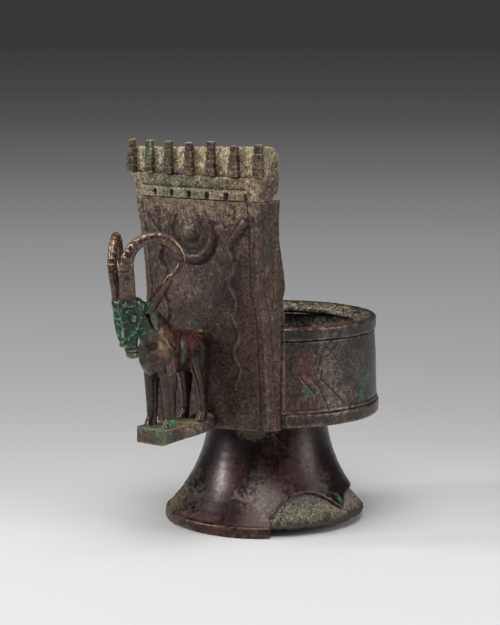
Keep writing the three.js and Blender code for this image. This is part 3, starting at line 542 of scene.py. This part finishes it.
cup_paint.layer(ash, "6f6a60", 0.95, 0.0, 0.8)
cup_paint.layer(ash * cup_paint.grain.over(0.5, 0.8), "b3ac9a", 0.95, 0.0, 0.6)
cup_paint.layer(ash * (1 - cup_paint.patch).over(0.6, 0.85), "3a3733", 0.95, 0.0, -0.5)
cup_paint.layer(ash * (1 - cup_paint.speck).over(0.62, 0.8), "1d1a18", 0.95, 0.0, -0.8)
courses = []
for name, node, how, lift in COURSES:
    course = skin(name, [node], **how)
    weather(course, cup_wear, lift)
    courses.append(course)
dress(courses, cup_paint, depth=0.35, coat=0.25)

# Facade: the tall plate before the cup, with a disc and crescent between two climbing snakes, all cast
# in one. Brown-grey patina, dusty at the top, darker and redder below, with a seam above the cup.
RELIEFS = ("sun_disc", "crescent", "snake_left", "snake_right")
PLATE_TOP = 236
BORDER = 5.2  # width of the raised strip up each side
SEAM_HEIGHT = 162
DISC_X, DISC_HEIGHT = -1.6, 214  # middle of the disc
CRESCENT_HEIGHT = 211.8  # middle of the crescent


def ease(x, a, b):
    t = over(x, a, b)
    return t * t * (3 - 2 * t)


def facade_wear(p, n):
    x, y, z = p.T
    front = over(n[:, 1], -0.3, -0.8)
    half_width = 50.9 + 0.037 * (z - 168) + 3.4 * (1 - ease(z, 150, 174))  # wider beside the cup
    from_edge = half_width - np.abs(x)
    border = 0.25 * ease(BORDER - from_edge, 0, 0.9) - 0.5 * ridge(from_edge - BORDER - 0.6, 0.8)
    side_face = over(np.abs(n[:, 0]), 0.4, 0.9) * (y < -50)
    front_edge = -62.5 - 0.1 * (z - 77)
    side_groove = ridge(y - front_edge - 6.5, 0.7)
    seam = ridge(z - SEAM_HEIGHT - 1.4 * field(p, 14, 40), 0.6) * (np.abs(x) > 24 + 14 * field(p, 22, 44))
    flow_lines = np.maximum(0.35 - np.abs(fractal(p, 16, 3, 41)), 0)
    from_disc = np.hypot(x - DISC_X, z - DISC_HEIGHT)
    boss = 0.4 * ridge(from_disc, 5) - 0.5 * ridge(from_disc - 8.6, 1.6)
    from_crescent = np.hypot(x - DISC_X, z - CRESCENT_HEIGHT)
    under_crescent = ridge(from_crescent - 21.6, 1.4) * ease(DISC_HEIGHT + 2 - z, 0, 8)
    return (
        0.6 * fractal(p, 24, 2, 45) * front
        + 0.5 * flow_lines * front
        + 0.12 * fractal(p, 3.4, 2, 47)
        + border * front * (z < PLATE_TOP)
        - 0.4 * side_groove * side_face
        - 0.2 * seam
        + (boss - 0.7 * under_crescent) * front
        - 0.6 * np.maximum(field(p, 2.8, 49) - 0.55, 0)
    )


facade = skin(
    "facade_plate", ["facade_panel", *RELIEFS], voxel=0.55, rounds=5,
    nudge={relief: (0, 0.2, 0) for relief in RELIEFS},
)
weather(facade, facade_wear, lift=0.8)
plate = bronze(
    "facade_patina", dark="372c25", warm="4a332b", film="645446",
    shine=0.7, warmth=0.5, filmy=0.5, tooth=0.8,
)
plate.spots(
    ((0, -80, 234), 50, (2.2, 1, 0.55), 0.75, "82715f", 0.8, 0.2, 0.2),  # dust at the top
    ((-16, -75, 175), 28, (1.5, 1, 0.8), 0.7, "5f5048", 0.6),  # grey and dark above the cup
    ((24, -74, 170), 30, (1, 1, 1.2), 0.75, "2b2421", 0.5),
    ((10, -74, 112), 52, (1, 1, 1.3), 0.7, "3b2e28", 0.5),  # dark and red below
    ((44, -68, 138), 34, (0.7, 1, 1.8), 0.7, "48312b", 0.5),
    ((55, -60, 205), 30, (0.4, 1, 1.6), 0.6, "3d3a30", 0.6),  # olive side, red along its groove
    ((55, -54, 196), 20, (1, 0.14, 1.5), 0.5, "74503f", 0.7),
    ((-2, -84, 214), 11, (1, 1, 1), 0.7, "5a5d4a", 0.5, 0.2),  # green-grey disc
    # painted shade right of the disc
    ((8, -80, 208), 14, (1, 1, 1.1), 0.5, "262019", 0.6),
)
# pale green along the left edge: green patina with painted light
left_edge = (-46.5 - plate.along(0)).over(0, 2) * plate.along(2).over(188, 215)
plate.layer(left_edge * plate.patch.over(0.1, 0.6) * 0.8, "6b6c54", 0.8, 0.1, 0.2)
# painted shadow along the lower outer edge of the crescent
from_crescent = plate.away((DISC_X, 0, CRESCENT_HEIGHT), (1, 0, 1))
shade = 1 - abs(from_crescent - 21.5).over(0, 3)
shade = shade * (DISC_HEIGHT - plate.along(2)).over(0, 8) * (-55 - plate.along(1)).over(0, 5)
plate.layer(shade * (plate.patch + 0.4).over(0.3, 0.9) * 0.85, "17110f", 0.8, 0.2)
age(
    plate, dust="85745f", green="3f6d58", edges="a58f78",
    dusty=0.15, greenish=-0.15, worn=0.35, pitted=0.6, cracked=0.45, contrast=0.8,
)
dress([facade], plate, depth=0.5, coat=0.15)

# Parapet: band with dentils and the wall above it, on top of the facade, cast in one with it. Thick dry
# crust of grey-tan and pale green, its edges chipped and pale.
LEDGE_LOW, LEDGE_HIGH = 266, 273.5  # heights between which the upper edges are chipped


def parapet_wear(p, n):
    top = over(n[:, 2], 0.4, 0.9) * (p[:, 2] > LEDGE_LOW) * (p[:, 2] < LEDGE_HIGH)
    crusty = 0.3 * fractal(p, 12, 2, 31) + 0.25 * fractal(p, 3.6, 3, 33) - 0.2
    pits = np.maximum(field(p, 2.2, 37) - 0.5, 0)
    return crusty - 0.6 * pits - top * ragged(p, 14, 38, 0.4, 0.9, 1.6)


parapet = skin(
    "parapet_casting", ["parapet", "dentil_course"], voxel=0.5, rounds=2,
    nudge={"dentil_course": (0, 0.4, -0.1)},
)
weather(parapet, parapet_wear, lift=0.15)
crust = bronze(
    "parapet_crust", dark="695e4f", warm="87725d", film="a2967c",
    shine=0.2, warmth=0.55, filmy=0.65,
)
crust.spots(
    ((-10, -84, 244), 60, (1.3, 1, 0.3), 0.6, "5f6856", 0.85, 0.0, 0.3),  # green along the band
    ((-28, -80, 260), 24, (1, 1, 0.9), 0.45, "587060", 0.85, 0.0, 0.3),
    ((34, -80, 260), 40, (1.2, 1, 0.6), 0.7, "86795c", 0.85, 0.0, 0.3),  # tan and brown to the right
    ((54, -62, 246), 22, (0.6, 1, 1.2), 0.6, "5a4636", 0.85, 0.0, 0.3),
)
on_top = crust.up().over(0.5, 0.9) * crust.patch.over(0.1, 0.6) * crust.along(2).over(262, 266)
crust.layer(on_top, "b3a488", 0.9, 0.0, 0.3)
# painted light on the wall between the merlons, where their shade falls
on_wall = crust.along(2).over(252, 257) * crust.patch.over(0.15, 0.75)
crust.layer(on_wall * 0.65, "bdb195", 0.9, 0.0, 0.2)
crust.spots(((54, -58, 258), 36, (0.6, 1, 1.4), 0.9, "5c5243", 0.85, 0.0, 0.3))  # right-hand corner
crust.layer((crust.speck + crust.grain * 0.5).over(1.05, 1.25) * 0.85, "cdc0a0", 0.9, 0.0, 0.4)
age(
    crust, dust="a89a7e", green="4f8a70", edges="c9b999",
    dusty=0.45, greenish=0.15, worn=0.8, pitted=0.58, cracked=0.45, contrast=0.65,
)
dress([parapet], crust, depth=0.7)

# Merlons: seven stepped blocks in front of the parapet wall, each chiselled by hand and worn to its own
# height. Darker and browner than the wall, with pale rubbed corners and pale tops, partly rubbed and
# partly painted light from above.
CUT_LENGTH = 9  # how many times longer than high a chisel cut is


def merlon_wear(p, n):
    level = p * [1 / CUT_LENGTH, 0, 1]
    chisel_cuts = np.maximum(field(level, 2.6, 91) - 0.1, 0) * over(n[:, 1], 0.3, -0.7)
    return 0.28 * fractal(p, 4, 3, 93) - 0.2 - 0.9 * chisel_cuts


merlons = []
for node in (f"merlon_{number}" for number in range(1, 8)):
    merlon = skin(f"{node}_chiselled", [node], voxel=0.36, rounds=2, nudge={node: (0, 0.35, -0.25)})
    weather(merlon, merlon_wear, lift=0.15)
    merlons.append(merlon)
dark_crust = bronze(
    "merlon_crust", dark="453c32", warm="5c4e3d", film="706550",
    shine=0.45, warmth=0.5, filmy=0.5,
)
dark_crust.spots(((-34, -80, 266), 26, (1, 1, 0.5), 0.5, "4a6a58", 0.8, 0.0, 0.3))  # green on the left
# pale tops, partly rubbed and partly painted light from above
tops = dark_crust.up().over(0.4, 0.9) * dark_crust.along(2).over(268, 270)
dark_crust.layer(tops, "a08d74", 0.7, 0.2, 0.3)
age(
    dark_crust, dust="80745c", green="4a8068", edges="bcaa8c",
    dusty=0.3, greenish=0.15, worn=0.8, pitted=0.7, cracked=0.45, contrast=0.75,
)
dress(merlons, dark_crust, depth=0.6)

# Plinth: the block that the ibex stands on and the lump of bronze that joins it to the facade.
# Brown-grey sides, malachite green and ochre along the edges, dust and green on top.
plinth = skin(
    "plinth_casting", ["ibex_plinth", "plinth_joint"], voxel=0.5, rounds=5,
    nudge={"plinth_joint": (0, -0.3, 0)},
)


def plinth_wear(p, n):
    return 0.35 * fractal(p, 12, 3, 51) + 0.1 * fractal(p, 2.4, 2, 55) - 0.15


weather(plinth, plinth_wear, lift=0.15)
block = bronze(
    "plinth_patina", dark="40342e", warm="543f38", film="6f6156",
    shine=0.55, warmth=0.55, filmy=0.5,
)
block.layer(block.up().over(0.4, 0.8) * block.patch.over(0.05, 0.5), "6b6450", 0.85, 0.1, 0.3)
block.spots(
    ((12, -126, 80), 12, (1, 1, 1.6), 0.6, "28533f", 0.6, 0.1, 0.3),  # green side and edges
    ((-8, -127, 83), 16, (1.2, 1, 0.4), 0.6, "356b56", 0.7, 0.1, 0.3),
    ((6, -118, 83.4), 12, (1.2, 1, 0.5), 0.65, "447c66", 0.7, 0.1, 0.3),
    ((6, -96, 83), 20, (1, 1, 0.5), 0.7, "8a7854", 0.85, 0.0, 0.3),  # ochre towards the facade
)
age(
    block, dust="8b7d66", green="3f8a6c", edges="b7a383",
    dusty=0.25, greenish=0.1, worn=0.7, pitted=0.4, cracked=0.2, contrast=0.55,
)
dress([plinth], block, depth=0.4, coat=0.15)

# Ibex: the second casting, an ibex standing square, muzzle down, with drooping ears, two long ribbed
# horns swept back over the neck and struts up to their tips. Green face, brown body, ochre shoulder.
CHEST = (0, -127, 137)  # smoothed, where the planes of neck and body meet
HORN_SPLAY = math.radians(35)
HORN_X, HORN_Y = 7.4, -153.9  # where the right horn leaves the head
HORN_STRAIGHT = 0.2  # share of a horn that rises straight, before its loop
HORN_STEM = 27  # height that this share rises
LOOP_TURN = math.radians(218)
LOOP_BACK, LOOP_HEIGHT = 17.3, 196.3  # middle of the loop: behind the horn's foot, and up
LOOP_RADIUS, LOOP_TIGHTENS = 18.9, 6.6
LEFT_LOWER = 2.2  # how much lower the left horn lies
HORN_RIBS = 23  # spaces along a whole horn, only the front half has ribs
EYES = ((1, 161.2), (-1, 158))  # side of the head, height
BROW = (
    (5, -156.5, 171), (8.6, -148, 172.6), (8.4, -141.5, 168.5), (7.6, -143.5, 161), (5.6, -146.5, 152),
)
LINES = (  # rise, width and bends of the raised and sunk lines on both sides of the ibex
    (0.6, 1.3, BROW),
    (0.45, 1.0, ((4, -158, 169), (3.4, -157, 160), (3, -154.8, 149))),  # bridge of the nose
    (0.8, 2.6, ((10, -122, 146), (10.5, -116, 138), (9.5, -112, 124), (9.8, -111, 110))),  # shoulder
    (-0.7, 2.4, ((10, -105, 140), (9.8, -104.5, 126))),  # hollow behind the shoulder
    (0.6, 2.6, ((10, -84, 142), (10.5, -80, 128), (9.6, -78.5, 112))),  # haunch
    (-0.5, 2.0, ((8, -126, 150), (9, -121, 154), (7, -112, 150))),  # fold at the foot of the neck
)


def horn_path(side):
    """Points down the middle of a horn, with how far along each is"""
    t = np.linspace(0, 1, 260)
    turn = math.pi - (t - HORN_STRAIGHT) / (1 - HORN_STRAIGHT) * LOOP_TURN
    radius = LOOP_RADIUS - LOOP_TIGHTENS * ease(t, 0.8, 1.06)
    straight = t < HORN_STRAIGHT
    back = np.where(straight, -1.6, LOOP_BACK + radius * np.cos(turn))
    z = LOOP_HEIGHT + np.where(straight, -HORN_STEM * (1 - t / HORN_STRAIGHT), radius * np.sin(turn))
    if side < 0:
        z = z - LEFT_LOWER * ease(t, 0.05, 0.3)
    gather = 1 - ease(t, 0, 0.24)
    x = HORN_X - 2 * gather + back * math.sin(HORN_SPLAY)
    y = HORN_Y + 2.8 * gather + back * math.cos(HORN_SPLAY)
    return t, np.stack([side * x, y, z], axis=1)


def horn_ribs(p, n):
    """Ribs round the front half of each horn, strongest along its sides"""
    rise = np.zeros(len(p))
    for side in (-1, 1):
        t, path = horn_path(side)
        near = np.flatnonzero((p[:, 2] > 171) & (np.sign(p[:, 0]) == side) & (p[:, 1] < -108))
        apart = ((p[near, None, :] - path[None]) ** 2).sum(axis=2)
        best = apart.argmin(axis=1)
        on_horn = apart[np.arange(len(near)), best] < 8**2
        near, best = near[on_horn], best[on_horn]
        loop_x = side * (HORN_X + LOOP_BACK * math.sin(HORN_SPLAY))
        loop_y = HORN_Y + LOOP_BACK * math.cos(HORN_SPLAY)
        outward = path[best] - [loop_x, loop_y, LOOP_HEIGHT]
        outward /= np.linalg.norm(outward, axis=1)[:, None]
        flank = over(np.abs((n[near] * outward).sum(axis=1) - 0.35), 1.1, 0.1)
        along = t[best]
        ribbed = ease(along, 0.14, 0.2) * (1 - ease(along, 0.5, 0.62))
        wave = np.cos(2 * math.pi * HORN_RIBS * along + 0.4 * field(p[near], 6, 78))
        rise[near] = ribbed * (0.35 * flank * np.maximum(wave, 0) ** 3 - 0.14 * wave - 0.1)
    return rise


def ibex_wear(p, n):
    x, y, z = p.T
    shape = 0.12 * fractal(p, 14, 2, 61) + 0.04 * fractal(p, 2.6, 2, 63) + 0.1 * over(n[:, 2], 0, 1)
    mirrored = np.stack([np.abs(x), y, z], axis=1)
    for rise, width, bends in LINES:
        line = np.max([stroke(mirrored, ends, width) for ends in zip(bends, bends[1:])], axis=0)
        shape += rise * line
    for side, height in EYES:
        from_eye = np.sqrt(((x - side * 8.6) * 0.8) ** 2 + (y + 149.4) ** 2 + (z - height) ** 2)
        shape -= 0.3 * ridge(from_eye - 3.7, 0.9)
        nostril = np.linalg.norm(p - [side * 2.6, -153.4, 145], axis=1)
        shape -= 0.9 * ridge(nostril, 1.2)
    mouth = ridge(z - 137.4, 0.5) * (y < -139)
    toes = ridge(np.abs(x) - 8.4, 0.7) * (z < 87.5) * (n[:, 1] < -0.3)
    return shape - 0.7 * mouth - 0.9 * toes + horn_ribs(p, n)


IBEX_NODES = (
    "ibex_body", "ear_left", "ear_right", "horn_left", "horn_right", "horn_strut_left", "horn_strut_right",
)
ibex = skin(
    "ibex_casting", IBEX_NODES, voxel=0.42, rounds=5,
    nudge={"horn_left": (0, 0.15, -0.4), "horn_right": (0, 0.15, -0.4)},
)
points = read(ibex.data)
calm = read(smoothed(ibex, 90))
from_chest = np.linalg.norm((points - [0, AXIS_Y, 0]) * 1000 - CHEST, axis=1)
chest = over(from_chest, 25.5, 8.5)[:, None]
write(ibex, points * (1 - chest) + calm * chest)
weather(ibex, ibex_wear, lift=0.9)
coat = bronze(
    "ibex_patina", dark="2a201b", warm="432b23", film="50402f",
    shine=0.9, warmth=0.5, filmy=0.35, tooth=0.4,
)
coat.spots(
    ((10, -122, 143), 22, (1, 0.6, 1.2), 0.6, "6a4b32", 0.55, 0.3, 0.1),  # ochre shoulder
    ((10, -112, 130), 18, (1, 0.5, 1.4), 0.55, "5e4335", 0.5, 0.3),
    ((10, -92, 142), 20, (1, 1, 0.7), 0.8, "59322e", 0.5, 0.4),  # red back, ochre rump
    ((8, -80, 146), 14, (1, 0.6, 0.6), 0.7, "8f7850", 0.85, 0.1, 0.3),
    ((10, -102, 134), 13, (1, 0.3, 1.5), 0.4, "28503f", 0.6, 0.1, 0.2),  # green on belly, thigh and neck
    ((10, -84, 130), 12, (1, 0.35, 1.5), 0.35, "28503f", 0.6, 0.1, 0.2),
    ((0, -130, 126), 12, (1, 1, 0.7), 0.25, "2a4f40", 0.6, 0.1, 0.2),
    ((8, -131, 148), 15, (1, 1, 1.4), 0.4, "2a4538", 0.55, 0.2, 0.1),
    ((8, -112, 86), 17, (1.6, 1, 0.5), 0.7, "3f7a5f", 0.7, 0.1, 0.2),  # green round the feet
)
height = coat.along(2)
legs = (114 - height + coat.patch * 8).over(0, 6) * (height - 88).over(0, 4)
head = (172.5 - height + coat.patch * 4).over(0, 4) * (-136.5 - coat.along(1) + coat.patch * 4).over(0, 4)
horns = (height - coat.patch * 3).over(173, 176)
coat.layer(legs * 0.6, "2a1c15", 0.3, 0.5)
coat.layer(head, "122a1d", 0.28, 0.1)
coat.layer(head * (coat.speck + coat.patch * 0.5).over(0.92, 1.16), "3fa07c", 0.38, 0.0, 0.2)
coat.layer(head * coat.noise(3, 5, 0.7, 0.4, 140).over(0.66, 0.85), "2c1d18", 0.4, 0.3)
coat.spots(((10, -131, 161), 12, (1, 0.8, 1.3), 0.5, "2b604c", 0.6, 0.1, 0.2))  # green behind the ear
coat.layer(horns, "57443a", 0.26, 0.6)
coat.layer(horns * coat.noise(8, 6, 0.74, 0.5, 160).over(0.4, 0.75) * 0.75, "2f231d", 0.26, 0.6)
coat.layer(horns * coat.noise(5, 5, 0.74, 0.5, 190).over(0.75, 0.95), "6d6a4c", 0.6, 0.2)
# painted highlight along the tops of the horns
coat.layer(horns * coat.up().over(0.1, 0.8) * (coat.patch + 0.4).over(0.5, 1.0) * 0.6, "9a8474", 0.3, 0.6)
# painted highlights on the ridges of the face
coat.layer(head * coat.raised * (coat.speck + 0.3).over(0.5, 1.0) * 0.6, "93a08c", 0.3, 0.2)
age(
    coat, dust="8a7658", green="2f7d60", edges="c2ab8e",
    dusty=0.05, greenish=0.05, worn=0.6, pitted=0.3, cracked=0.15, contrast=0.6,
)
dress([ibex], coat, depth=0.22, coat=(1 - head) * 0.35, specular=0.4)

# Floor: a wide sheet of pale paper under the burner and far out round it. Its colour goes through soft
# rings of grey round a place between the burner and the camera, and is darkest far off: painted light and
# shade of the studio on the floor.
FLOOR_RADIUS = 90  # metres
RING_MIDDLE = (346, -427, 0)
RING_START = 100  # mm from that middle: here far is 0
RING_DECADES = 2.6  # and it is 1 where the distance has grown by so many powers of ten
# greys of the painted light and shade on the floor
LEVELS = (  # far, grey
    (0.17, 0.617), (0.28, 0.63), (0.30, 0.59), (0.325, 0.525), (0.352, 0.465), (0.387, 0.44),
    (0.422, 0.455), (0.459, 0.51), (0.498, 0.59), (0.541, 0.688), (0.589, 0.711), (0.648, 0.596),
    (0.726, 0.405), (0.812, 0.309), (0.97, 0.245), (1.13, 0.21),
)


def grey(level):
    return (level, level, level, 1)


bm = bmesh.new()
bmesh.ops.create_circle(bm, cap_ends=True, segments=96, radius=FLOOR_RADIUS)
mesh = bpy.data.meshes.new("floor")
bm.to_mesh(mesh)
bm.free()
floor = bpy.data.objects.new("floor", mesh)
bpy.context.scene.collection.objects.link(floor)
ground = Paint("floor_paper", "cecece", rough=0.9)
rings = {0: ground.away(RING_MIDDLE) / RING_START, 1: 10.0}
far = ground.node("ShaderNodeMath", {"operation": "LOGARITHM"}, rings) / RING_DECADES
for (start, first), (end, last) in zip(LEVELS, LEVELS[1:]):
    ring = ground.mix(far.over(start, end), grey(first), grey(last))
    ground.colour = ground.mix(far.over(start, start + 0.001), ground.colour, ring)
floor.data.materials.append(ground.finish(depth=0.02, coat=0.0, specular=0.1))

# Studio: a broad soft box above the camera, a tall strip on the left and a box on the right, in an even
# room that looks dark grey behind the floor, to the camera and in reflections.
LAMP_AIM = Vector((0, AXIS_Y, 0.14))
LAMPS = (  # name, azimuth, distance and height in metres, size, watts
    ("top_box", 35, 0.6, 1.55, (1.0, 1.5), 25.0),
    ("left_strip", -43, 1.6, 0.85, (0.24, 0.7), 16.0),
    ("right_box", 113, 1.5, 0.6, (0.7, 0.9), 9.0),
)


def around(azimuth, distance, height):
    """A place round the burner, its azimuth in degrees to the right of the facade's front"""
    turn = math.radians(azimuth)
    return Vector((distance * math.sin(turn), AXIS_Y - distance * math.cos(turn), height))


for name, azimuth, distance, height, size, watts in LAMPS:
    lamp = bpy.data.lights.new(name, "AREA")
    lamp.shape = "RECTANGLE"
    lamp.size, lamp.size_y = size
    lamp.energy = watts
    light = bpy.data.objects.new(name, lamp)
    light.location = around(azimuth, distance, height)
    light.rotation_euler = (LAMP_AIM - light.location).to_track_quat("-Z", "Y").to_euler()
    bpy.context.scene.collection.objects.link(light)

world = bpy.data.worlds.new("room")
bpy.context.scene.world = world
world.use_nodes = True
room = Nodes(world.node_tree)
camera_ray, glossy_ray, transmission_ray = (
    room.node("ShaderNodeLightPath", output=f"Is {kind} Ray")
    for kind in ("Camera", "Glossy", "Transmission")
)
shown = (camera_ray + glossy_ray + transmission_ray).over(0, 1)
even = room.node("ShaderNodeBackground", None, {"Color": grey(0.2)})
seen = room.node("ShaderNodeBackground", None, {"Color": tint("373737")})
blend = room.node("ShaderNodeMixShader", None, {0: shown, 1: even, 2: seen})
room.feed(room.tree.nodes["World Output"].inputs["Surface"], blend)

# Camera: a little above the cup, 39 degrees to the right of the facade's front, looking slightly down
# and a touch past the axis, where the photograph's camera stood.
AZIMUTH = 39
LOOK_DOWN = 7.85
PAST_AXIS = 0.52
camera = bpy.data.cameras.new("camera")
camera.lens = 114.1
camera.sensor_width = 36
camera.clip_end = 200
view = bpy.data.objects.new("camera", camera)
view.location = around(AZIMUTH, distance=1.4125, height=0.3435)
view.rotation_euler = (math.radians(90 - LOOK_DOWN), 0, math.radians(AZIMUTH + PAST_AXIS))
bpy.context.scene.collection.objects.link(view)
bpy.context.scene.camera = view
bpy.context.scene.view_settings.view_transform = "Standard"
